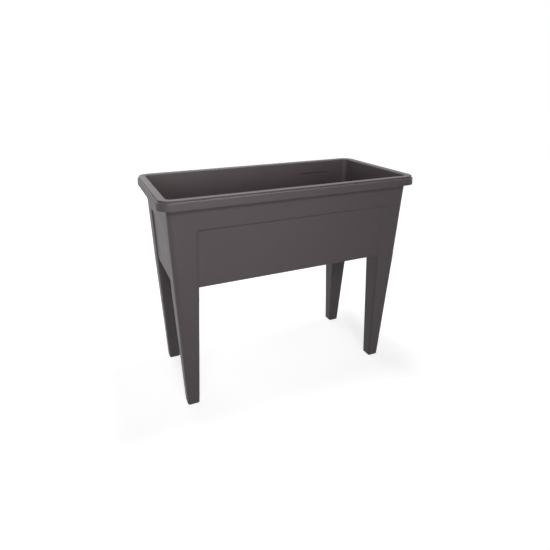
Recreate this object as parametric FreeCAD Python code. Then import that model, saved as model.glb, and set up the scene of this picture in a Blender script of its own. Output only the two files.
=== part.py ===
import FreeCAD, Part
import math
import os
from FreeCAD import Vector

# A raised planter: a moulded tub with a stepped rim, standing on four push-on tapered legs.
# Millimetres. X runs along the length, -Y is the front, Z is up and the feet stand on Z = 0.

# Overall sizes
rim_length = 776.0
rim_width = 374.0
overall_height = 650.0
leg_length = 398.0  # from the ground to the lower edge of the tub

# Rim: a flat crown round the mouth, and below its shoulder a skirt that flares down and outwards
rim_overhang = 23.0  # from the tub wall out to the foot of the skirt
rim_corner_radius = 38.0
skirt_height = 18.5
skirt_flare = 1.5
skirt_foot_chamfer = 1.0
shoulder_chamfer = 0.9
crown_height = 6.5  # above the shoulder
crown_inset = 3.2  # from the foot of the skirt
crown_edge_radius = 4.0
mouth_edge_radius = 3.5

# Tub walls
wall = 3.0
wall_taper = 3.0  # drawn in on each side, from under the rim to the lower edge
body_corner_radius = 17.0
band_height = 67.0  # plain band between the skirt and the recessed panels
panel_recess = 5.0
panel_side_lean = 8.0  # how far the sides of the recess lean out over its depth
panel_top_lean = 5.2  # and its upper side
post_edge_radius = 9.0
panel_root_radius = 1.5
shoulder_rise = 8.0  # of the shoulder inside, above the root of the panels' upper step

# Corner posts and legs: their inner edges run straight from the band down to the foot
post_top_length = 78.5  # along X, at the root of the panels' upper step
post_top_width = 74.0  # along Y, at the root of the panels' upper step
foot_size = 37.0
foot_corner_radius = 9.0
leg_edge_radius = 5.0  # on the three inner edges
leg_hollow_radius = 13.0  # inside the outer corner
leg_hollow_edge_radius = 6.0  # inside the three inner edges
leg_lean = 9.0  # how far each foot is drawn in from the tub's lower edge
foot_thickness = 4.0
foot_chamfer = 2.0
run_out_width = 10.5  # the panel's step runs on into the leg, this wide at the tub's lower edge
run_out_length = 32.0  # and ends this far below it

# Floor, and the stubs that the legs push onto
floor_thickness = 3.0
floor_lift = 12.0  # from the tub's lower edge to the underside of the floor
floor_rib_thickness = 2.5
floor_rib_setback = 1.0  # ribs end this far above the tub's lower edge
lengthwise_rib_pitch = 70.0
stub_length = 60.0
stub_wall = 2.7
fit_clearance = 0.3
catch_length = 24.0
catch_radius = 1.2
catch_rise = 0.8  # how far the catch stands out of the stub
catch_drop = 22.0  # below the tub's lower edge

# Shallow grooves down the inside of the long walls, and the level line on the back wall
groove_pitch = 135.0
groove_width = 13.0
groove_depth = 1.5  # at the shoulder behind the panels, running out upwards
groove_height = 30.0
grooves_each_side = 2  # of the middle one
level_line_drop = 40.0  # below the top of the crown
level_line_left = 169.0
level_line_right = 287.0
level_line_thickness = 1.6
level_line_depth = 1.0

# Drains with their push-in plugs
drain_offset = 202.5
drain_bore = 26.0
drain_spout_wall = 4.0
plug_flange_thickness = 3.0
plug_flange_overlap = 3.0  # beyond the bore
plug_lead_in = 1.0
plug_tab_length = 22.0
plug_tab_height = 12.0
plug_tab_thickness = 4.0
plug_tab_radius = 1.5

# Levels and half sizes that follow from the sizes above
skirt_top_level = overall_height - crown_height
skirt_level = skirt_top_level - skirt_height
panel_top_level = skirt_level - band_height
shoulder_level = panel_top_level + shoulder_rise
floor_underside = leg_length + floor_lift
floor_top = floor_underside + floor_thickness
rim_half_length = rim_length / 2
rim_half_width = rim_width / 2
top_half_length = rim_half_length - rim_overhang
top_half_width = rim_half_width - rim_overhang
inner_corner_radius = body_corner_radius - wall
drawn_in = panel_recess + wall  # from the posts' faces to the inside of the panels
drain_radius = drain_bore / 2
beyond = 5.0  # cutting tools reach this far past what they cut
touching = 0.05  # places nearer than this are the same place


def between(level, low_level, high_level, low_value, high_value):
    share = (level - low_level) / (high_level - low_level)
    return low_value + share * (high_value - low_value)


def body_half_length(level):
    return between(level, leg_length, skirt_level, top_half_length - wall_taper, top_half_length)


def body_half_width(level):
    return between(level, leg_length, skirt_level, top_half_width - wall_taper, top_half_width)


foot_half_length = body_half_length(leg_length) - leg_lean
foot_half_width = body_half_width(leg_length) - leg_lean


def post_inner_x(level):
    top = body_half_length(panel_top_level) - post_top_length
    return between(level, 0, panel_top_level, foot_half_length - foot_size, top)


def post_inner_y(level):
    top = body_half_width(panel_top_level) - post_top_width
    return between(level, 0, panel_top_level, foot_half_width - foot_size, top)


def leg_outer_x(level):
    return between(level, 0, leg_length, foot_half_length, body_half_length(leg_length))


def leg_outer_y(level):
    return between(level, 0, leg_length, foot_half_width, body_half_width(leg_length))


def solid_between(low_loop, high_loop):
    # A solid with flat faces between two loops of as many points. The low loop is turned round, so
    # that all the faces look the same way.
    count = len(low_loop)
    turned = low_loop[::-1]
    faces = [Part.Face(Part.makePolygon(loop + loop[:1])) for loop in (turned, high_loop)]
    for index in range(count):
        after = (index + 1) % count
        side = [low_loop[index], low_loop[after], high_loop[after], high_loop[index], low_loop[index]]
        faces.append(Part.Face(Part.makePolygon(side)))
    solid = Part.Solid(Part.Shell(faces))
    if solid.Volume < 0:
        solid.reverse()
    return solid


def rectangle(x_low, x_high, y_low, y_high, level):
    # Corners from x_high, y_high, turning towards x_low, y_high.
    plan = ((x_high, y_high), (x_low, y_high), (x_low, y_low), (x_high, y_low))
    return [Vector(x, y, level) for x, y in plan]


def centred(half_length, half_width, level):
    return rectangle(-half_length, half_length, -half_width, half_width, level)


def upright_edges(solid):
    # Those that reach over most of its height.
    least = 0.9 * solid.BoundBox.ZLength
    return [edge for edge in solid.Edges if edge.BoundBox.ZLength > least]


def level_edges(solid, level):
    def flat(edge):
        return max(abs(edge.BoundBox.ZMin - level), abs(edge.BoundBox.ZMax - level)) < touching

    return [edge for edge in solid.Edges if flat(edge)]


def block(low_loop, high_loop, radius):
    # A straight or tapering block with its upright edges rounded.
    solid = solid_between(low_loop, high_loop)
    return solid.makeFillet(radius, upright_edges(solid))


def box(x_low, x_high, y_low, y_high, z_low, z_high):
    return Part.makeBox(x_high - x_low, y_high - y_low, z_high - z_low, Vector(x_low, y_low, z_low))


def corners_of(shape):
    # The same shape in all four corners: rear right, rear left, front right and front left.
    origin = Vector(0, 0, 0)
    rear_left = shape.mirror(origin, Vector(1, 0, 0))
    front_right = shape.mirror(origin, Vector(0, 1, 0))
    front_left = rear_left.mirror(origin, Vector(0, 1, 0))
    return [shape, rear_left, front_right, front_left]


def both_sides(shape, normal):
    return [shape, shape.mirror(Vector(0, 0, 0), normal)]


def groove_places():
    steps = range(-grooves_each_side, grooves_each_side + 1)
    return [step * groove_pitch for step in steps]


def drain_places():
    return {"left": -drain_offset, "right": drain_offset}


def body_section(level, inset):
    return centred(body_half_length(level) - inset, body_half_width(level) - inset, level)


def leg_section(level, inset):
    # Section of the rear right leg, or of what fits inside it.
    x_low = post_inner_x(level) + inset
    y_low = post_inner_y(level) + inset
    return rectangle(x_low, leg_outer_x(level) - inset, y_low, leg_outer_y(level) - inset, level)


def outermost_edge(solid):
    def reach(edge):
        middle = edge.valueAt((edge.FirstParameter + edge.LastParameter) / 2)
        return middle.x + middle.y

    return max(upright_edges(solid), key=reach)


def leg_core(low_level, high_level, inset, outer_radius, edge_radius):
    # What fits inside the rear right leg between two levels.
    solid = solid_between(leg_section(low_level, inset), leg_section(high_level, inset))
    outer = outermost_edge(solid)
    inner = [edge for edge in upright_edges(solid) if not edge.isSame(outer)]
    solid = solid.makeFillet(edge_radius, inner)
    return solid.makeFillet(outer_radius, [outermost_edge(solid)])


def taper_outer_corner(solid, low, high, low_radius, high_radius):
    # Rounds the corner that runs from low to high, with a radius that changes evenly along it: what
    # lies outside a cone touching both faces is cut away.
    along = high - low
    inward_x = along.cross(Vector(0, 1, 0)).normalize()
    inward_y = Vector(1, 0, 0).cross(along).normalize()
    to_centre = (inward_x + inward_y) / (1 + inward_x.dot(inward_y))

    def radius(share):
        return low_radius + share * (high_radius - low_radius)

    def centre(share):
        return low + along * share + to_centre * radius(share)

    def corner_loop(share):
        middle = centre(share)
        outside = middle - to_centre * (past_corner * radius(share))
        return [outside, middle - inward_x * radius(share), middle, middle - inward_y * radius(share)]

    past_corner = 1.5
    past_ends = 0.02
    start = -past_ends
    end = 1 + past_ends
    axis = centre(end) - centre(start)
    sine = (radius(end) - radius(start)) / axis.Length
    cosine = math.sqrt(1 - sine * sine)
    cone = Part.makeCone(radius(start) / cosine, radius(end) / cosine, axis.Length, centre(start), axis)
    waste = solid_between(corner_loop(start), corner_loop(end)).cut(cone)
    return solid.cut(waste)


def panel_cutter(post_inner, body_half, place):
    # The recess between two posts: post_inner gives its root at a level and body_half the posts'
    # face. It widens towards the face. place turns across, outward and level into a point.
    low = leg_length - beyond
    loops = []
    for depth in (-beyond, panel_recess):
        share = 1 - depth / panel_recess  # 0 at the root and 1 at the face
        high = panel_top_level + share * panel_top_lean
        loops.append(
            [
                place(side * (post_inner(level) + share * panel_side_lean), body_half(level) - depth, level)
                for side, level in ((-1, low), (1, low), (1, high), (-1, high))
            ]
        )
    return solid_between(*loops)


def recess_edges(solid, depth):
    # The long edges of the recesses that lie this deep behind the faces of the posts.
    side_reach = panel_side_lean + touching
    highest = panel_top_level + panel_top_lean + touching
    found = []
    for edge in solid.Edges:
        middle = edge.valueAt((edge.FirstParameter + edge.LastParameter) / 2)
        behind_long = abs(body_half_width(middle.z) - abs(middle.y) - depth) < touching
        behind_end = abs(body_half_length(middle.z) - abs(middle.x) - depth) < touching
        on_long_side = behind_long and abs(middle.x) < post_inner_x(middle.z) + side_reach
        on_end = behind_end and abs(middle.y) < post_inner_y(middle.z) + side_reach
        if leg_length + touching < middle.z < highest and (on_long_side or on_end):
            found.append(edge)
    return found


def make_body():
    body = block(body_section(leg_length, 0), body_section(skirt_level, 0), body_corner_radius)
    front = panel_cutter(post_inner_x, body_half_width, lambda across, out, z: Vector(across, -out, z))
    end = panel_cutter(post_inner_y, body_half_length, lambda across, out, z: Vector(-out, across, z))
    body = body.cut(both_sides(front, Vector(0, 1, 0)) + both_sides(end, Vector(1, 0, 0)))
    body = body.makeFillet(panel_root_radius, recess_edges(body, panel_recess))
    return body.makeFillet(post_edge_radius, recess_edges(body, 0))


def rim_block(low, low_inset, high, high_inset):
    # A block this far inside the foot of the skirt at two levels, with the rim's corners.
    low_loop = centred(rim_half_length - low_inset, rim_half_width - low_inset, low)
    high_loop = centred(rim_half_length - high_inset, rim_half_width - high_inset, high)
    return block(low_loop, high_loop, rim_corner_radius - low_inset)


def make_rim():
    # Skirt and crown, hollowed from below so that the rim is one wall folded over.
    skirt = rim_block(skirt_level, 0, skirt_top_level, skirt_flare)
    skirt = skirt.makeChamfer(shoulder_chamfer, level_edges(skirt, skirt_top_level))
    skirt = skirt.makeChamfer(skirt_foot_chamfer, level_edges(skirt, skirt_level))
    crown = rim_block(skirt_top_level - wall, crown_inset, overall_height, crown_inset)
    crown = crown.makeFillet(crown_edge_radius, level_edges(crown, overall_height))
    under_skirt = rim_block(skirt_level, wall, skirt_top_level - wall, wall + skirt_flare)
    hollow_inset = crown_inset + wall
    under_crown = rim_block(skirt_level, hollow_inset, overall_height - wall, hollow_inset)
    return skirt.fuse(crown).cut([under_skirt, under_crown])


def make_neck():
    # The tub's own wall, from the top of the body up into the crown.
    return block(
        body_section(skirt_level, 0),
        body_section(overall_height - wall / 2, 0),
        body_corner_radius,
    )


def make_cavity():
    # The planting space: full width above the shoulder, drawn in behind the panels below it, and
    # bulging into the four posts.
    def post_section(level):
        x_low = post_inner_x(level) + panel_side_lean + wall
        y_low = post_inner_y(level) + panel_side_lean + wall
        x_high = body_half_length(level) - wall
        y_high = body_half_width(level) - wall
        return rectangle(x_low, x_high, y_low, y_high, level)

    top = overall_height + beyond
    upper = block(body_section(shoulder_level, wall), body_section(top, wall), inner_corner_radius)
    into_upper = shoulder_level + beyond
    lower = solid_between(body_section(floor_top, drawn_in), body_section(into_upper, drawn_in))
    post = solid_between(post_section(floor_top), post_section(into_upper))
    post = post.makeFillet(inner_corner_radius, [outermost_edge(post)])
    return [upper, lower] + corners_of(post)


def make_under_floor():
    # The space below the floor, less the ribs and the shoes that the legs butt against.
    low = leg_length - beyond
    space = solid_between(body_section(low, drawn_in), body_section(floor_underside, drawn_in))
    rib_low = leg_length + floor_rib_setback
    half_rib = floor_rib_thickness / 2
    kept = []
    for x in groove_places():
        kept.append(box(x - half_rib, x + half_rib, -rim_half_width, rim_half_width, rib_low, floor_top))
    for y in (-lengthwise_rib_pitch, 0, lengthwise_rib_pitch):
        kept.append(box(-rim_half_length, rim_half_length, y - half_rib, y + half_rib, rib_low, floor_top))
    shoe = solid_between(leg_section(low - beyond, 0), leg_section(floor_top, 0))
    return space.cut(kept + corners_of(shoe))


def catch_bars(growth):
    # Half-round catches on the stub's two inner faces, or grown, the grooves that take them.
    level = leg_length - catch_drop
    radius = catch_radius + growth
    length = catch_length + 2 * growth
    depth = wall + fit_clearance + catch_radius - catch_rise
    middle_x = (post_inner_x(level) + leg_outer_x(level)) / 2
    middle_y = (post_inner_y(level) + leg_outer_y(level)) / 2
    start_x = Vector(middle_x - length / 2, post_inner_y(level) + depth, level)
    start_y = Vector(post_inner_x(level) + depth, middle_y - length / 2, level)
    along_x = Part.makeCylinder(radius, length, start_x, Vector(1, 0, 0))
    along_y = Part.makeCylinder(radius, length, start_y, Vector(0, 1, 0))
    return [along_x, along_y]


def make_stub():
    # A downward tube inside the top of the leg, open below.
    low = leg_length - stub_length
    inset = wall + fit_clearance
    outer_radius = leg_hollow_radius - fit_clearance
    edge_radius = leg_hollow_edge_radius - fit_clearance
    solid = leg_core(low, floor_underside, inset, outer_radius, edge_radius)
    hollow = leg_core(
        low - beyond,
        floor_underside,
        inset + stub_wall,
        outer_radius - stub_wall,
        edge_radius - stub_wall,
    )
    return solid.fuse(catch_bars(0)), hollow


def make_grooves():
    # Wedges to cut from the long walls, deepest at the shoulder and running out up the wall.
    top = shoulder_level + groove_height
    shoulder_face = body_half_width(shoulder_level) - wall
    top_face = body_half_width(top) - wall
    profile = [
        (shoulder_face - groove_depth, shoulder_level),
        (shoulder_face + groove_depth, shoulder_level),
        (top_face, top),
    ]
    wedges = []
    for x in groove_places():
        left = [Vector(x - groove_width / 2, y, z) for y, z in profile]
        right = [Vector(x + groove_width / 2, y, z) for y, z in profile]
        wedges += both_sides(solid_between(left, right), Vector(0, 1, 0))
    return wedges


def make_level_line():
    level = overall_height - level_line_drop
    low = level - level_line_thickness / 2
    high = low + level_line_thickness
    face = body_half_width(level) - wall
    return box(level_line_left, level_line_right, face - beyond, face + level_line_depth, low, high)


def round_mouth(tub):
    # The inner edge of the crown.
    def inside(edge):
        middle = edge.valueAt((edge.FirstParameter + edge.LastParameter) / 2)
        return abs(middle.x) < top_half_length and abs(middle.y) < top_half_width

    mouth = [edge for edge in level_edges(tub, overall_height) if inside(edge)]
    return tub.makeFillet(mouth_edge_radius, mouth)


def make_tub():
    tub = make_rim().fuse([make_body(), make_neck()])
    tub = tub.cut(make_cavity())
    tub = round_mouth(tub.removeSplitter())
    tub = tub.cut(make_under_floor())
    stub, hollow = make_stub()
    tub = tub.fuse(corners_of(stub)).cut(corners_of(hollow))
    tub = tub.cut(make_grooves() + [make_level_line()])
    for x in drain_places().values():
        low = Vector(x, 0, leg_length)
        tub = tub.fuse(Part.makeCylinder(drain_radius + drain_spout_wall, floor_lift, low))
        below = Vector(x, 0, leg_length - beyond)
        tub = tub.cut(Part.makeCylinder(drain_radius, floor_lift + 2 * beyond, below))
    return tub.removeSplitter()


def make_run_outs():
    # Where the steps of the long panel and the end panel run on into the rear right leg: on each of
    # its two inner edges a sliver, widest at the tub's lower edge and running out to a point.
    low = leg_length - run_out_length

    def sliver(edge_x, edge_y, across, inward):
        point = Vector(edge_x(low), edge_y(low), low)
        corner = Vector(edge_x(leg_length), edge_y(leg_length), leg_length)
        edge = [corner, corner + across * run_out_width, corner + inward * panel_recess]
        outside = (across + inward) * -beyond
        far = [place + outside for place in edge]
        return solid_between([point, edge[1], edge[2]], [point + outside, far[1], far[2]])

    along_x = Vector(1, 0, 0)
    along_y = Vector(0, 1, 0)
    return [
        sliver(post_inner_x, leg_outer_y, along_x, along_y * -1),
        sliver(leg_outer_x, post_inner_y, along_y, along_x * -1),
    ]


def make_leg():
    low = leg_section(0, 0)
    high = leg_section(leg_length, 0)
    leg = solid_between(low, high)
    outer = outermost_edge(leg)
    inner = [edge for edge in upright_edges(leg) if not edge.isSame(outer)]
    leg = leg.makeFillet(leg_edge_radius, inner)
    leg = taper_outer_corner(leg, low[0], high[0], foot_corner_radius, body_corner_radius)
    leg = leg.removeSplitter()
    leg = leg.makeChamfer(foot_chamfer, level_edges(leg, 0))
    top = leg_length + beyond
    hollow = leg_core(foot_thickness, top, wall, leg_hollow_radius, leg_hollow_edge_radius)
    leg = leg.cut([hollow] + catch_bars(fit_clearance) + make_run_outs())
    return leg.removeSplitter()


def make_plug(x):
    # A stopper whose flange seats on the end of the spout, with a tab to pull it by.
    radius = drain_radius - fit_clearance
    flange = drain_radius + plug_flange_overlap
    low = leg_length - plug_flange_thickness
    top = floor_underside
    profile = [
        (0, low),
        (flange, low),
        (flange, leg_length),
        (radius, leg_length),
        (radius, top - plug_lead_in),
        (radius - plug_lead_in, top),
        (0, top),
        (0, low),
    ]
    section = Part.Face(Part.makePolygon([Vector(r, 0, z) for r, z in profile]))
    stopper = section.revolve(Vector(0, 0, 0), Vector(0, 0, 1), 360)
    half_length = plug_tab_length / 2
    half_thickness = plug_tab_thickness / 2
    tab = block(
        centred(half_length, half_thickness, low - plug_tab_height),
        centred(half_length, half_thickness, low),
        plug_tab_radius,
    )
    plug = stopper.fuse(tab).removeSplitter()
    plug.translate(Vector(x, 0, 0))
    return plug


nodes = {"tub": make_tub()}
leg_names = ("leg_rear_right", "leg_rear_left", "leg_front_right", "leg_front_left")
for name, leg in zip(leg_names, corners_of(make_leg())):
    nodes[name] = leg
for side, x in drain_places().items():
    nodes["drain_plug_" + side] = make_plug(x)

os.makedirs("parts", exist_ok=True)
for name, shape in nodes.items():
    print(name, "solids", len(shape.Solids), "volume", round(shape.Volume), "valid", shape.isValid())
    shape.exportStep("parts/" + name + ".step")
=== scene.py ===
import math
import bmesh
import bpy
from mathutils import Matrix, Vector


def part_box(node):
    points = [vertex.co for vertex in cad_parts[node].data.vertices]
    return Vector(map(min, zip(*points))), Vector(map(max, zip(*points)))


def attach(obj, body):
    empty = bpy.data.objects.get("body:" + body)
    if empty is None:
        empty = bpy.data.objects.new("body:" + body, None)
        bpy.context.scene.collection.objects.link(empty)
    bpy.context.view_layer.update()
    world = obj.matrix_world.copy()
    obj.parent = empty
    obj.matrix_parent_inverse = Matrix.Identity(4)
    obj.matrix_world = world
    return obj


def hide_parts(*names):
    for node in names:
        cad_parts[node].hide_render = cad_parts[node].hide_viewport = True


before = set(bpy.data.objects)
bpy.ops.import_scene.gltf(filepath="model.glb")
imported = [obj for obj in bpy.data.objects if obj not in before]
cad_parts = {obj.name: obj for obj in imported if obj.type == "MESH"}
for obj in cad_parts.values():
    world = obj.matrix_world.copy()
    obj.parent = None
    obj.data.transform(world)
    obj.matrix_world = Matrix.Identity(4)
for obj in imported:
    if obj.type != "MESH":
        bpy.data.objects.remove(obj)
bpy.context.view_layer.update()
scene = bpy.context.scene
mm = 0.001


def linearColor(hexText):  # "#rrggbb" in sRGB to linear RGBA
    channels = [int(hexText[i:i + 2], 16) / 255 for i in (1, 3, 5)]
    linear = [c / 12.92 if c <= 0.04045 else ((c + 0.055) / 1.055) ** 2.4 for c in channels]
    return (*linear, 1.0)


def addNode(tree, kind, settings=None, inputs=None):  # one node with its settings, values and links
    node = tree.nodes.new(kind)
    for name, value in (settings or {}).items():
        setattr(node, name, value)
    for socket, value in (inputs or {}).items():
        if isinstance(value, bpy.types.NodeSocket):
            tree.links.new(value, node.inputs[socket])
        else:
            node.inputs[socket].default_value = value
    return node


def newMaterial(name):
    material = bpy.data.materials.new(name)
    material.use_nodes = True
    material.node_tree.nodes.clear()
    return material, material.node_tree


# Injection-moulded polypropylene, pigmented warm grey-brown, with the fine matt grain that a
# spark-eroded mould leaves: a soft wide sheen, no clear reflections, faint clouding from the flow.
polypropylene = {
    "color": "#51494b",
    "cloudColor": "#4c4547",
    "cloudSize": 90 * mm,
    "cloudNoise": {"Detail": 3.0, "Roughness": 0.5},
    "cloudRange": (0.3, 0.7),  # the noise values between which the sheen changes
    "grainSize": 1.6 * mm,  # the real grain is about 0.2 mm, drawn coarser so that it shows
    "grainNoise": {"Detail": 2.0, "Roughness": 0.6},
    "grainDepth": 0.05 * mm,
    "grainStrength": 0.35,
    "roughness": 0.46,
    "roughnessChange": 0.03,  # either way, with the clouding
    "ior": 1.49,
    "specularLevel": 0.25,  # the grain breaks up about half of the mirror-like share
}

# The same plastic for the drain plugs, darker, and with a finer grain and a little more sheen
plugPolypropylene = {
    **polypropylene,
    "color": "#3a3335",
    "cloudColor": "#362f31",
    "grainDepth": 0.02 * mm,
    "roughness": 0.4,
}


def makePolypropylene(name, settings):
    material, tree = newMaterial(name)
    place = addNode(tree, "ShaderNodeTexCoord").outputs["Object"]
    clouds = addNode(tree, "ShaderNodeTexNoise", inputs={
        "Vector": place, "Scale": 1 / settings["cloudSize"], **settings["cloudNoise"]})
    grain = addNode(tree, "ShaderNodeTexNoise", inputs={
        "Vector": place, "Scale": 1 / settings["grainSize"], **settings["grainNoise"]})
    shade = addNode(tree, "ShaderNodeMix", {"data_type": "RGBA"}, {
        "Factor": clouds.outputs["Fac"],
        "A": linearColor(settings["cloudColor"]),
        "B": linearColor(settings["color"])})
    cloudLow, cloudHigh = settings["cloudRange"]
    gloss = addNode(tree, "ShaderNodeMapRange", inputs={
        "Value": clouds.outputs["Fac"], "From Min": cloudLow, "From Max": cloudHigh,
        "To Min": settings["roughness"] - settings["roughnessChange"],
        "To Max": settings["roughness"] + settings["roughnessChange"]})
    bump = addNode(tree, "ShaderNodeBump", inputs={
        "Height": grain.outputs["Fac"],
        "Strength": settings["grainStrength"], "Distance": settings["grainDepth"]})
    shader = addNode(tree, "ShaderNodeBsdfPrincipled", inputs={
        "Base Color": shade.outputs["Result"], "Roughness": gloss.outputs["Result"],
        "Normal": bump.outputs["Normal"], "IOR": settings["ior"],
        "Specular IOR Level": settings["specularLevel"]})
    addNode(tree, "ShaderNodeOutputMaterial", inputs={"Surface": shader.outputs["BSDF"]})
    return material


planterPlastic = makePolypropylene("mouldedPolypropylene", polypropylene)
plugPlastic = makePolypropylene("plugPolypropylene", plugPolypropylene)
print("materials done")


tolerance = 0.05 * mm
samePoint = 0.01 * mm
looseTolerance = 1 * mm  # where faces lean
levelNormal = 0.9  # the part of a face's normal along Z that counts as level
sharpFold = 60  # in degrees, more than the panels' steps lean
smoothAngle = math.radians(32)
tubeSegments = 64


def startCube(name, low, high):  # a cube between two corners, left in edit mode
    bpy.ops.object.select_all(action="DESELECT")
    bpy.ops.mesh.primitive_cube_add(size=1, location=(low + high) / 2, scale=high - low)
    bpy.ops.object.transform_apply(location=True, rotation=True, scale=True)
    bpy.context.object.name = name
    bpy.ops.object.mode_set(mode="EDIT")
    return bpy.context.object


def pick(kind, test):  # selects the vertices, edges or faces that pass the test
    bpy.ops.mesh.select_mode(type=kind)
    bpy.ops.mesh.select_all(action="DESELECT")
    mesh = bmesh.from_edit_mesh(bpy.context.object.data)
    mesh.normal_update()
    for part in {"VERT": mesh.verts, "EDGE": mesh.edges, "FACE": mesh.faces}[kind]:
        if test(part):
            part.select_set(True)
    mesh.select_flush_mode()
    bmesh.update_edit_mesh(bpy.context.object.data)


def near(a, b):
    return abs(a - b) < tolerance


def atLevel(part, level):  # all of an edge or face
    return all(near(vertex.co.z, level) for vertex in part.verts)


def facesUp(face):
    return face.normal.z > levelNormal


def facesDown(face):
    return face.normal.z < -levelNormal


def edgeMiddle(edge):
    return (edge.verts[0].co + edge.verts[1].co) / 2


def foldAngle(edge):  # in degrees, positive over a ridge and negative in a valley
    return math.degrees(edge.calc_face_angle_signed(0.0)) if edge.is_manifold else 0.0


def extrudeBy(x, y, z):
    bpy.ops.mesh.extrude_region_move(TRANSFORM_OT_translate={"value": (x, y, z)})


def resizeAbout(center, x, y, z):
    bpy.ops.transform.resize(value=(x, y, z), center_override=center)


def roundEdges(test, width, segments):
    pick("EDGE", test)
    bpy.ops.mesh.bevel(offset=width, segments=segments, affect="EDGES", clamp_overlap=True)


def roundOutline(width, segments):  # of the face that is picked
    bpy.ops.mesh.region_to_loop()
    bpy.ops.mesh.bevel(offset=width, segments=segments, affect="EDGES")


def combine(piece, tool, operation):  # a Boolean that uses up the tool
    modifier = piece.modifiers.new(operation.lower(), "BOOLEAN")
    modifier.operation = operation
    modifier.object = tool
    modifier.solver = "EXACT"
    bpy.context.view_layer.objects.active = piece
    bpy.ops.object.modifier_apply(modifier=modifier.name)
    bpy.data.objects.remove(tool)


def finishPiece(piece, body, node, material):
    bpy.ops.object.select_all(action="DESELECT")
    piece.select_set(True)
    bpy.context.view_layer.objects.active = piece
    bpy.ops.object.shade_smooth_by_angle(angle=smoothAngle)
    modifier = piece.modifiers.new("flatFaces", "WEIGHTED_NORMAL")  # keeps the big faces flat
    modifier.keep_sharp = True
    bpy.ops.object.modifier_apply(modifier=modifier.name)
    piece.data.materials.clear()
    piece.data.materials.append(material)
    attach(piece, body)
    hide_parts(node)


# The lines that tub and legs share. Below, each rounding is a width and its number of segments.
legLow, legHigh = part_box("leg_rear_right")
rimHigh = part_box("tub")[1]
tubFoot = legHigh.z
sharedLines = {
    "panelTop": 558 * mm,  # where the root of a panel's step ends
    "postTop": (285.5 * mm, 89.1 * mm),  # the posts' inner edges there, along X and Y
    "footInner": (316 * mm, 115 * mm),  # and at the ground
    "legLean": 9 * mm,  # a foot's outer faces stand in from the leg's top by this
}


def postInner(axis, level):
    share = level / sharedLines["panelTop"]
    low, high = sharedLines["footInner"][axis], sharedLines["postTop"][axis]
    return low + share * (high - low)


tubSizes = {
    "cornerRounding": (38 * mm, 18),
    "skirtHeight": 20.5 * mm,
    "skirtEdgeRounding": (0.4 * mm, 2),
    "flare": 1.5 * mm,  # the skirt's lower edge stands out from its top by this
    "rimShoulderRounding": (3.5 * mm, 4),
    "crownHeight": 4.5 * mm,
    "crownInset": 5.5 * mm,  # from the skirt's lower edge
    "crownRounding": (0.7 * mm, 6),
    "crownFlat": 5 * mm,  # the crown's outer edge is further than this from its mouth
    "mouthRounding": (3.5 * mm, 6),
    "wall": 3 * mm,
    "taper": 3 * mm,  # the walls draw in by this towards the lower edge
    "recess": 5 * mm,  # of the panels
    "sideLean": 8 * mm,  # of a panel's step at its sides
    "topLean": 5.2 * mm,  # and at its top
    "stepFold": (20, 70),  # in degrees, between a panel's step and the faces beside it
    "stepRounding": (2.8 * mm, 5),
    "rootRounding": (0.5 * mm, 3),
    "shoulderRise": 8 * mm,  # of the shoulder inside, above the panels' tops
    "shoulderRounding": (1.5 * mm, 3),
    "floorLift": 12 * mm,  # above the lower edge
    "floor": 3 * mm,
    "wallNormal": 0.99,  # the part of a face's normal that counts as square to the wall
    "flatAngle": math.radians(0.2),  # faces of one wall that differ by less become one
}


def wallHalf(axis, level):  # outside of the tub's wall
    skirtFoot = rimHigh.z - tubSizes["crownHeight"] - tubSizes["skirtHeight"]
    return legHigh[axis] + tubSizes["taper"] * (level - tubFoot) / (skirtFoot - tubFoot)


def pressPanel(axis, side, inside):  # pushes the middle of one wall inwards, to its lower edge
    s = tubSizes
    out = Vector((0, 0, 0))
    out[axis] = side
    acrossAxis = 1 - axis
    floorTop = tubFoot + s["floorLift"] + s["floor"]
    low = floorTop if inside else tubFoot
    high = sharedLines["panelTop"] + (s["shoulderRise"] if inside else s["topLean"])
    widen = s["sideLean"] + (s["wall"] if inside else 0)
    facing = -out if inside else out

    def onWall(face):
        middle = face.calc_center_median()
        place = wallHalf(axis, middle.z) - (s["wall"] if inside else 0)
        return (face.normal.dot(facing) > s["wallNormal"]
                and abs(middle.dot(out) - place) < looseTolerance)

    def inMiddle(face):
        return onWall(face) and abs(face.calc_center_median()[acrossAxis]) < looseTolerance

    def edgePoint(turn, level):
        point = out * legHigh[axis]
        point[acrossAxis] = turn * (postInner(acrossAxis, level) + widen)
        point.z = level
        return point

    for turn in (-1, 1):
        pick("FACE", onWall)
        start = edgePoint(turn, low)
        across = (edgePoint(turn, high) - start).cross(out)
        bpy.ops.mesh.bisect(plane_co=start, plane_no=across)
    pick("FACE", inMiddle)
    bpy.ops.mesh.bisect(plane_co=(0, 0, high), plane_no=(0, 0, 1))
    pick("FACE", lambda f: inMiddle(f) and f.calc_center_median().z < high)
    extrudeBy(*(-out * s["recess"]))
    if not inside:  # the step leans, so the panel itself is smaller than its opening
        scale = Vector((1, 1, (high - s["topLean"] - low) / (high - low)))
        opening = postInner(acrossAxis, (low + high) / 2) + widen
        scale[acrossAxis] = (opening - s["sideLean"]) / opening
        resizeAbout((0, 0, low), *scale)
    pick("FACE", lambda f: atLevel(f, low))
    bpy.ops.mesh.delete(type="FACE")
    pick("FACE", onWall)
    bpy.ops.mesh.dissolve_limited(angle_limit=s["flatAngle"])


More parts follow.
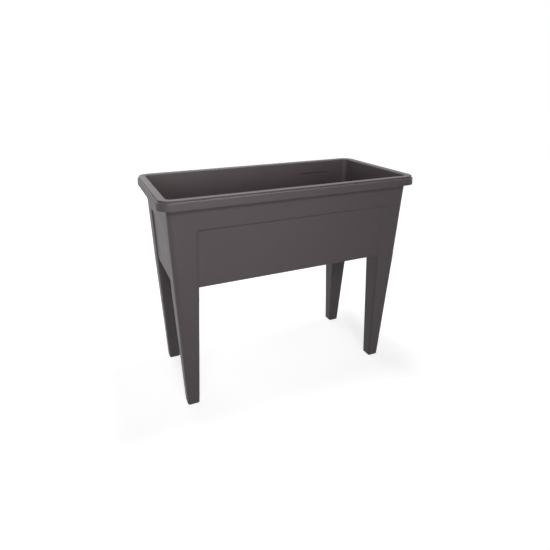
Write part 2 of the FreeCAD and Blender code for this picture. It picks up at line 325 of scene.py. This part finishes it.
def makeTub():
    s = tubSizes
    wall = s["wall"]
    skirtTop = rimHigh.z - s["crownHeight"]
    skirtFoot = skirtTop - s["skirtHeight"]
    crownUnder = rimHigh.z - wall
    floorTop = tubFoot + s["floorLift"] + s["floor"]
    shoulder = sharedLines["panelTop"] + s["shoulderRise"]
    halfX, halfY = rimHigh.x, rimHigh.y
    middle = (0, 0, 0)

    # Skirt, with its flare and round corners
    low, high = Vector((-halfX, -halfY, skirtFoot)), Vector((halfX, halfY, skirtTop))
    tub = startCube("planterTub", low, high)
    flare = ((halfX - s["flare"]) / halfX, (halfY - s["flare"]) / halfY, 1)
    pick("VERT", lambda v: near(v.co.z, skirtTop))
    resizeAbout(middle, *flare)
    roundEdges(lambda e: not atLevel(e, skirtTop) and not atLevel(e, skirtFoot),
               *s["cornerRounding"])

    # Crown, then down its mouth to the floor
    pick("FACE", facesUp)
    bpy.ops.mesh.inset(thickness=s["crownInset"] - s["flare"])
    extrudeBy(0, 0, s["crownHeight"])
    mouthX, mouthY = (wallHalf(axis, rimHigh.z) - wall for axis in (0, 1))
    bpy.ops.mesh.inset(thickness=halfX - s["crownInset"] - mouthX)
    extrudeBy(0, 0, floorTop - rimHigh.z)
    floorX, floorY = (wallHalf(axis, floorTop) - wall for axis in (0, 1))
    resizeAbout(middle, floorX / mouthX, floorY / mouthY, 1)
    bpy.ops.mesh.delete(type="ONLY_FACE")

    # Hollow of the rim from below, then down the outside of the wall
    pick("FACE", lambda f: facesDown(f) and atLevel(f, skirtFoot))
    bpy.ops.mesh.inset(thickness=wall)
    extrudeBy(0, 0, s["skirtHeight"] - wall)
    resizeAbout(middle, *flare)
    bpy.ops.mesh.inset(thickness=s["crownInset"] - s["flare"])
    extrudeBy(0, 0, s["crownHeight"])
    topX, topY = (wallHalf(axis, crownUnder) for axis in (0, 1))
    bpy.ops.mesh.inset(thickness=halfX - s["crownInset"] - wall - topX)
    extrudeBy(0, 0, tubFoot - crownUnder)
    resizeAbout(middle, legHigh.x / topX, legHigh.y / topY, 1)
    bpy.ops.mesh.delete(type="ONLY_FACE")

    # Panels, outside and inside, then the floor
    for axis in (0, 1):
        for side in (-1, 1):
            pressPanel(axis, side, False)
            pressPanel(axis, side, True)
    for level in (floorTop, tubFoot):
        pick("EDGE", lambda e: e.is_boundary and atLevel(e, level))
        bpy.ops.mesh.edge_face_add()
    bpy.ops.mesh.inset(thickness=wall)
    extrudeBy(0, 0, s["floorLift"])
    bpy.ops.mesh.select_all(action="SELECT")
    bpy.ops.mesh.normals_make_consistent(inside=False)

    # Roundings of the panels' steps and their roots, of the shoulder inside, then of the rim
    def onStep(edge, turn):  # turn is 1 for a ridge and -1 for a root
        foldLow, foldHigh = s["stepFold"]
        onPanel = tubFoot < edgeMiddle(edge).z < skirtFoot
        return onPanel and foldLow < turn * foldAngle(edge) < foldHigh

    def onFloor(edge):
        return abs(edgeMiddle(edge).z - floorTop) <= looseTolerance

    def sharpRing(edge, level):
        return atLevel(edge, level) and foldAngle(edge) > sharpFold

    def awayFromMouth(edge):
        place = edgeMiddle(edge)
        return abs(place.x) > mouthX + s["crownFlat"] or abs(place.y) > mouthY + s["crownFlat"]

    roundEdges(lambda e: onStep(e, 1), *s["stepRounding"])
    roundEdges(lambda e: onStep(e, -1) and not onFloor(e), *s["rootRounding"])
    roundEdges(lambda e: sharpRing(e, shoulder), *s["shoulderRounding"])
    roundEdges(lambda e: sharpRing(e, rimHigh.z) and awayFromMouth(e), *s["crownRounding"])
    roundEdges(lambda e: sharpRing(e, rimHigh.z), *s["mouthRounding"])
    roundEdges(lambda e: sharpRing(e, skirtTop), *s["rimShoulderRounding"])
    roundEdges(lambda e: sharpRing(e, skirtFoot), *s["skirtEdgeRounding"])
    bpy.ops.object.mode_set(mode="OBJECT")
    return tub


tubDetails = {
    "acrossRibs": [-270 * mm, -135 * mm, 0, 135 * mm, 270 * mm],  # the grooves' places too
    "lengthwiseRibs": [-70 * mm, 0, 70 * mm],
    "ribThickness": 2.5 * mm,
    "ribSetback": 1 * mm,  # above the tub's lower edge
    "ribBite": 1.5 * mm,  # into the walls and the floor
    "grooveWidth": 13 * mm,
    "grooveHeight": 30 * mm,
    "grooveDepth": 1.5 * mm,
    "grooveLift": 0.2 * mm,  # above the shoulder inside
    "levelLine": (169 * mm, 287 * mm),
    "levelLineFoot": 608.5 * mm,
    "levelLineHeight": 3.2 * mm,  # steep enough to keep a sharp edge
    "levelLineDepth": 2 * mm,
    "wedgeReach": 3 * mm,  # of a cutter in front of the wall
    "wedgeClear": 0.3 * mm,  # its top edge ends in front of the wall, for a clean cut
    "drains": [-202.5 * mm, 202.5 * mm],
    "drainRadius": 13 * mm,
    "drillBelow": 5 * mm,  # the drain's cutter goes beyond the spout by this
    "drillAbove": 10 * mm,  # and by this, through the floor
    "spoutWall": 4 * mm,
    "stubLength": 60 * mm,  # what the legs push onto
    "stubWall": 2.7 * mm,
    "stubInset": 3.3 * mm,  # the leg's wall and its clearance
    "stubRounding": (15.5 * mm, 8),  # clear of the leg's outer corner
}


def cutterBox(low, high):
    tool = startCube("tool", Vector(low), Vector(high))
    bpy.ops.object.mode_set(mode="OBJECT")
    return tool


def cutterTube(x, radius, low, high):
    bpy.ops.object.select_all(action="DESELECT")
    bpy.ops.mesh.primitive_cylinder_add(
        vertices=tubeSegments, radius=radius, depth=high - low, location=(x, 0, (low + high) / 2))
    bpy.ops.object.transform_apply(location=True, rotation=True, scale=True)
    return bpy.context.object


def wedgeCutter(span, low, height, depth, side):  # deepest at its foot, runs out up a long wall
    d = tubDetails
    left, right = span
    high = low + height
    lowFace, highFace = (wallHalf(1, level) - tubSizes["wall"] for level in (low, high))
    tool = startCube("tool", Vector((left, lowFace - d["wedgeReach"], low)),
                     Vector((right, lowFace + depth, high)))
    pick("VERT", lambda v: near(v.co.z, high) and v.co.y > lowFace)
    bpy.ops.transform.translate(value=(0, highFace - lowFace - depth - d["wedgeClear"], 0))
    if side < 0:
        bpy.ops.mesh.select_all(action="SELECT")
        resizeAbout((0, 0, 0), 1, -1, 1)
        bpy.ops.mesh.normals_make_consistent(inside=False)
    bpy.ops.object.mode_set(mode="OBJECT")
    return tool


def stubTube(turnX, turnY):  # follows the inside of a leg, and is open below
    d = tubDetails
    low, high = tubFoot - d["stubLength"], tubFoot + tubSizes["floorLift"] + d["ribBite"]

    def section(level):
        lean = sharedLines["legLean"] * (tubFoot - level) / (legHigh.z - legLow.z)
        lowCorner = [postInner(axis, level) + d["stubInset"] for axis in (0, 1)]
        highCorner = [legHigh[axis] - lean - d["stubInset"] for axis in (0, 1)]
        return Vector((*lowCorner, level)), Vector((*highCorner, level))

    (footLow, footHigh), (topLow, topHigh) = section(low), section(high)
    tool = startCube("tool", Vector((topLow.x, topLow.y, low)), topHigh)
    pick("VERT", lambda v: near(v.co.z, low))
    footSize, topSize = footHigh - footLow, topHigh - topLow
    resizeAbout((topLow.x, topLow.y, low), footSize.x / topSize.x, footSize.y / topSize.y, 1)
    bpy.ops.transform.translate(value=(footLow.x - topLow.x, footLow.y - topLow.y, 0))
    roundEdges(lambda e: not atLevel(e, low) and not atLevel(e, high), *d["stubRounding"])
    pick("FACE", facesDown)
    bpy.ops.mesh.inset(thickness=d["stubWall"])
    extrudeBy(0, 0, tubFoot - low)
    bpy.ops.mesh.select_all(action="SELECT")
    resizeAbout((0, 0, 0), turnX, turnY, 1)
    bpy.ops.mesh.normals_make_consistent(inside=False)
    bpy.ops.object.mode_set(mode="OBJECT")
    return tool


def addTubDetails(tub):  # ribs, drain spouts, grooves, level line and stubs
    d = tubDetails
    half = d["ribThickness"] / 2
    low = tubFoot + d["ribSetback"]
    high = tubFoot + tubSizes["floorLift"] + d["ribBite"]
    setIn = tubSizes["recess"] + tubSizes["wall"] - d["ribBite"]
    reachX, reachY = legHigh.x - setIn, legHigh.y - setIn
    for x in d["acrossRibs"]:
        combine(tub, cutterBox((x - half, -reachY, low), (x + half, reachY, high)), "UNION")
    for y in d["lengthwiseRibs"]:
        combine(tub, cutterBox((-reachX, y - half, low), (reachX, y + half, high)), "UNION")
    for x in d["drains"]:
        spout = cutterTube(x, d["drainRadius"] + d["spoutWall"], tubFoot, high)
        combine(tub, spout, "UNION")
        drill = cutterTube(x, d["drainRadius"], tubFoot - d["drillBelow"], high + d["drillAbove"])
        combine(tub, drill, "DIFFERENCE")
    grooveFoot = sharedLines["panelTop"] + tubSizes["shoulderRise"] + d["grooveLift"]
    halfGroove = d["grooveWidth"] / 2
    for x in d["acrossRibs"]:
        for side in (-1, 1):
            groove = wedgeCutter((x - halfGroove, x + halfGroove), grooveFoot,
                                 d["grooveHeight"], d["grooveDepth"], side)
            combine(tub, groove, "DIFFERENCE")
    levelLine = wedgeCutter(d["levelLine"], d["levelLineFoot"],
                            d["levelLineHeight"], d["levelLineDepth"], 1)
    combine(tub, levelLine, "DIFFERENCE")
    for turnX in (-1, 1):
        for turnY in (-1, 1):
            combine(tub, stubTube(turnX, turnY), "UNION")


tubPiece = makeTub()
addTubDetails(tubPiece)
finishPiece(tubPiece, "planter", "tub", planterPlastic)
print("tub done", len(tubPiece.data.polygons), "faces")


legSizes = {
    "foot": 37 * mm,
    "outerShare": 25,  # percent of each side that the outer corner's rounding takes
    "outerSegments": 10,
    "outerReach": 22.5 * mm,  # the outer corner's edges lie within this, along X and Y together
    "edgeRounding": (6.5 * mm, 6),
    "footRounding": (3 * mm, 4),
    "footThickness": 4 * mm,
    "wall": 3 * mm,
    "runOutLength": 32 * mm,  # the panels' steps run out on the inner edges over this length
    # A step at the leg's top, in mm: along the wall from the inner face, and in from its face
    "stepOutline": [
        (0, 6.2), (0.3, 5.2), (1.3, 4.3), (4.0, 2.5), (6.4, 1.1), (8.6, 0.3), (11.0, 0)],
}


def makeLeg():  # the rear right leg
    s = legSizes
    lean = sharedLines["legLean"]
    leg = startCube("leg", legLow, legHigh)
    top = legHigh - legLow
    pick("VERT", lambda v: near(v.co.z, legLow.z))
    resizeAbout((legHigh.x, legHigh.y, legLow.z), s["foot"] / top.x, s["foot"] / top.y, 1)
    bpy.ops.transform.translate(value=(-lean, -lean, 0))
    bpy.ops.mesh.select_all(action="SELECT")
    bpy.ops.mesh.bisect(plane_co=(0, 0, legHigh.z - s["runOutLength"]), plane_no=(0, 0, 1))

    def upright(edge):
        return abs(edge.verts[0].co.z - edge.verts[1].co.z) > looseTolerance

    def isOuter(edge):
        place = edgeMiddle(edge)
        return upright(edge) and place.x + place.y > legHigh.x + legHigh.y - s["outerReach"]

    roundEdges(lambda e: upright(e) and not isOuter(e), *s["edgeRounding"])
    pick("EDGE", isOuter)
    bpy.ops.mesh.bevel(offset_type="PERCENT", offset_pct=s["outerShare"],
                       segments=s["outerSegments"], affect="EDGES")

    # The top of both inner edges takes the outline of the tub's steps
    reach = s["edgeRounding"][0] + 2 * tolerance
    for axis in (0, 1):
        corner = Vector((legHigh.x, legHigh.y, legHigh.z))
        corner[axis] = legLow[axis]
        rounding = [v.co.copy() for v in bmesh.from_edit_mesh(leg.data).verts
                    if near(v.co.z, corner.z) and (v.co - corner).length < reach]
        rounding.sort(key=lambda place: place.x + place.y)
        for place, (along, depth) in zip(rounding, s["stepOutline"], strict=True):
            goal = corner.copy()
            goal[axis] += along * mm
            goal[1 - axis] -= depth * mm
            pick("VERT", lambda v: (v.co - place).length < samePoint)
            bpy.ops.transform.translate(value=goal - place)

    pick("FACE", facesDown)
    roundOutline(*s["footRounding"])

    # Hollow: the top's outline drawn in by the wall, then down to the foot
    pick("FACE", facesUp)
    extrudeBy(0, 0, 0)
    topMiddle = (legLow + legHigh) / 2
    inset = 2 * s["wall"]
    resizeAbout((topMiddle.x, topMiddle.y, legHigh.z), 1 - inset / top.x, 1 - inset / top.y, 1)
    fromCorner = lean + s["foot"] / 2
    footMiddle = legHigh - Vector((fromCorner, fromCorner, 0))
    extrudeBy(footMiddle.x - topMiddle.x, footMiddle.y - topMiddle.y,
              legLow.z + s["footThickness"] - legHigh.z)
    inner = s["foot"] - inset
    shrinkX, shrinkY = inner / (top.x - inset), inner / (top.y - inset)
    resizeAbout((footMiddle.x, footMiddle.y, 0), shrinkX, shrinkY, 1)
    bpy.ops.object.mode_set(mode="OBJECT")
    return leg


def copyTo(piece, name, turnX, turnY):  # a copy with its own mesh, mirrored into another corner
    bpy.ops.object.select_all(action="DESELECT")
    piece.select_set(True)
    bpy.context.view_layer.objects.active = piece
    bpy.ops.object.duplicate()
    copied = bpy.context.object
    copied.name = name
    bpy.ops.object.mode_set(mode="EDIT")
    bpy.ops.mesh.select_all(action="SELECT")
    resizeAbout((0, 0, 0), turnX, turnY, 1)
    bpy.ops.mesh.normals_make_consistent(inside=False)
    bpy.ops.object.mode_set(mode="OBJECT")
    return copied


firstLeg = makeLeg()
corners = {
    "RearRight": (1, 1, "leg_rear_right"),
    "RearLeft": (-1, 1, "leg_rear_left"),
    "FrontRight": (1, -1, "leg_front_right"),
    "FrontLeft": (-1, -1, "leg_front_left"),
}
for corner, (turnX, turnY, nodeName) in corners.items():
    legPiece = copyTo(firstLeg, "leg" + corner, turnX, turnY)
    finishPiece(legPiece, "planter", nodeName, planterPlastic)
bpy.data.objects.remove(firstLeg)
print("legs done", len(legPiece.data.polygons), "faces each")


plugSizes = {
    "flangeRadius": 16 * mm,
    "flangeThickness": 3 * mm,
    "flangeRounding": (0.7 * mm, 3),
    "stopperRadius": 12.7 * mm,
    "leadIn": (1 * mm, 3),
    "tab": (22 * mm, 4 * mm, 12 * mm),
    "tabRounding": (1.4 * mm, 4),
    "tabBite": 1 * mm,  # into the flange
}


def makePlug():  # the right one
    s = plugSizes
    low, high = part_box("drain_plug_right")
    x = (low.x + high.x) / 2
    flangeLow = tubFoot - s["flangeThickness"]
    plug = cutterTube(x, s["flangeRadius"], flangeLow, tubFoot)
    bpy.ops.object.mode_set(mode="EDIT")
    pick("FACE", facesUp)
    bpy.ops.mesh.inset(thickness=s["flangeRadius"] - s["stopperRadius"])
    extrudeBy(0, 0, high.z - tubFoot)
    roundOutline(*s["leadIn"])
    roundEdges(lambda e: atLevel(e, flangeLow), *s["flangeRounding"])
    bpy.ops.object.mode_set(mode="OBJECT")
    length, thickness, height = s["tab"]
    tabTop = flangeLow + s["tabBite"]
    tab = startCube("tab", Vector((x - length / 2, -thickness / 2, flangeLow - height)),
                    Vector((x + length / 2, thickness / 2, tabTop)))
    roundEdges(lambda e: not atLevel(e, tabTop), *s["tabRounding"])
    bpy.ops.object.mode_set(mode="OBJECT")
    combine(plug, tab, "UNION")
    return plug


firstPlug = makePlug()
for side, turnX in (("left", -1), ("right", 1)):
    plugPiece = copyTo(firstPlug, "drainPlug" + side.capitalize(), turnX, 1)
    finishPiece(plugPiece, side + "_plug", "drain_plug_" + side, plugPlastic)
bpy.data.objects.remove(firstPlug)
print("plugs done", len(plugPiece.data.polygons), "faces each")


# Camera: solved from the edges of the planter in the photograph
cameraSettings = {
    "place": (-539.75 * mm, -1158.25 * mm, 906.98 * mm),
    "yaw": 0.3911,
    "pitch": 0.4329,
    "roll": -0.0052,
    "focalPixels": 417.646,
    "middle": (256.18, 274.79),
    "imageSize": 550,
    "sensor": 36.0,
    "clipStart": 0.05,
}


def addCamera(settings):
    yaw, pitch, roll = settings["yaw"], settings["pitch"], settings["roll"]
    level = math.cos(pitch)
    forward = Vector((math.sin(yaw) * level, math.cos(yaw) * level, -math.sin(pitch)))
    right = Vector((math.cos(yaw), -math.sin(yaw), 0))
    up = right.cross(forward)
    turnedRight = right * math.cos(roll) + up * math.sin(roll)
    turnedUp = up * math.cos(roll) - right * math.sin(roll)
    data = bpy.data.cameras.new("photoCamera")
    size = settings["imageSize"]
    data.sensor_width = settings["sensor"]
    data.lens = settings["sensor"] * settings["focalPixels"] / size
    data.shift_x = (size / 2 - settings["middle"][0]) / size
    data.shift_y = (settings["middle"][1] - size / 2) / size
    data.clip_start = settings["clipStart"]
    camera = bpy.data.objects.new("photoCamera", data)
    scene.collection.objects.link(camera)
    axes = Matrix((turnedRight, turnedUp, -forward)).transposed()
    camera.matrix_world = Matrix.Translation(settings["place"]) @ axes.to_4x4()
    scene.camera = camera


addCamera(cameraSettings)
print("camera done")


# Studio: white surroundings, one softbox above, three with grids at the front that fall off to the
# right and towards the feet, and weak lights behind for the rim's sheen and the hidden sides
studio = {
    "white": (1, 1, 1, 1),
    "worldStrength": 0.03,
    "floorSize": 30.0,
    "paper": "#c8c8c8",
    "glow": (0.765, 1.0),  # white that the floor has of its own, near the object and far off
    "glowReach": (0.8, 2.5),
    "aim": (0, 0, 0.45),
    "spread": 180,  # in degrees, for a lamp without a grid
    "lamps": {
        "topSoftbox": {"place": (0.15, 0.1, 1.9), "size": 0.5, "watts": 18},
        "frontSoftbox": {
            "place": (-0.6, -2.6, 2.2), "size": 0.6, "watts": 2.3,
            "aim": (-0.28, -0.18, 0.68), "spread": 40},
        "frontRightSoftbox": {
            "place": (0.2, -3.6, 1.15), "size": 0.9, "watts": 1.5,
            "aim": (-0.28, -0.18, 0.68), "spread": 36},
        "frontLeftSoftbox": {
            "place": (-1.6, -3.0, 1.15), "size": 0.9, "watts": 2.1,
            "aim": (-0.12, -0.18, 0.62), "spread": 50},
        "highBackLight": {"place": (-0.7, 2.8, 2.0), "size": 1.6, "watts": 14.7},
        "backLeftLight": {"place": (-2.3, 1.9, 1.0), "size": 1.2, "watts": 5.7},
        "lowRearFill": {"place": (0.6, 3.0, 0.45), "size": 0.8, "watts": 7.8},
        "lowRightFill": {"place": (2.8, 0.9, 0.5), "size": 0.8, "watts": 6.6},
    },
}


def whiteForViewer(tree):  # 1 for camera, glossy and transmitted rays
    path = addNode(tree, "ShaderNodeLightPath")
    first = addNode(tree, "ShaderNodeMath", {"operation": "MAXIMUM"}, {
        0: path.outputs["Is Camera Ray"], 1: path.outputs["Is Glossy Ray"]})
    return addNode(tree, "ShaderNodeMath", {"operation": "MAXIMUM"}, {
        0: first.outputs["Value"], 1: path.outputs["Is Transmission Ray"]}).outputs["Value"]


def addWorld(settings):
    world = bpy.data.worlds.new("whiteStudio")
    world.use_nodes = True
    tree = world.node_tree
    tree.nodes.clear()
    strength = addNode(tree, "ShaderNodeMix", {"data_type": "FLOAT"}, {
        "Factor": whiteForViewer(tree), "A": settings["worldStrength"], "B": 1.0})
    light = addNode(tree, "ShaderNodeBackground", inputs={
        "Color": settings["white"], "Strength": strength.outputs["Result"]})
    addNode(tree, "ShaderNodeOutputWorld", inputs={"Surface": light.outputs["Background"]})
    scene.world = world


def makePaper(settings):  # matt pale paper, brighter far off, and open to a look from underneath
    material, tree = newMaterial("palePaper")
    paper = addNode(tree, "ShaderNodeBsdfDiffuse", inputs={
        "Color": linearColor(settings["paper"])})
    place = addNode(tree, "ShaderNodeTexCoord").outputs["Object"]
    distance = addNode(tree, "ShaderNodeVectorMath", {"operation": "LENGTH"}, {0: place})
    low, high = settings["glow"]
    fadeFrom, fadeTo = settings["glowReach"]
    fade = addNode(tree, "ShaderNodeMapRange", {"interpolation_type": "SMOOTHSTEP"}, {
        "Value": distance.outputs["Value"], "From Min": fadeFrom, "From Max": fadeTo,
        "To Min": low, "To Max": high})
    strength = addNode(tree, "ShaderNodeMath", {"operation": "MULTIPLY"}, {
        0: whiteForViewer(tree), 1: fade.outputs["Result"]})
    glow = addNode(tree, "ShaderNodeEmission", inputs={
        "Color": settings["white"], "Strength": strength.outputs["Value"]})
    surface = addNode(tree, "ShaderNodeAddShader", inputs={
        0: paper.outputs["BSDF"], 1: glow.outputs["Emission"]})
    below = addNode(tree, "ShaderNodeNewGeometry").outputs["Backfacing"]
    through = addNode(tree, "ShaderNodeBsdfTransparent")
    oneSided = addNode(tree, "ShaderNodeMixShader", inputs={
        0: below, 1: surface.outputs["Shader"], 2: through.outputs["BSDF"]})
    addNode(tree, "ShaderNodeOutputMaterial", inputs={"Surface": oneSided.outputs["Shader"]})
    return material


def addFloor(settings):
    bpy.ops.object.select_all(action="DESELECT")
    bpy.ops.mesh.primitive_plane_add(size=settings["floorSize"], location=(0, 0, 0))
    floor = bpy.context.object
    floor.name = "paleFloor"
    floor.data.materials.append(makePaper(settings))


def addLamps(settings):
    for name, lamp in settings["lamps"].items():
        data = bpy.data.lights.new(name, "AREA")
        data.shape = "DISK"
        data.size = lamp["size"]
        data.energy = lamp["watts"]
        data.spread = math.radians(lamp.get("spread", settings["spread"]))
        lampObject = bpy.data.objects.new(name, data)
        lampObject.location = lamp["place"]
        toward = Vector(lamp.get("aim", settings["aim"])) - Vector(lamp["place"])
        lampObject.rotation_euler = toward.to_track_quat("-Z", "Y").to_euler()
        scene.collection.objects.link(lampObject)


addWorld(studio)
addFloor(studio)
addLamps(studio)
scene.view_settings.view_transform = "Standard"
print("studio done")
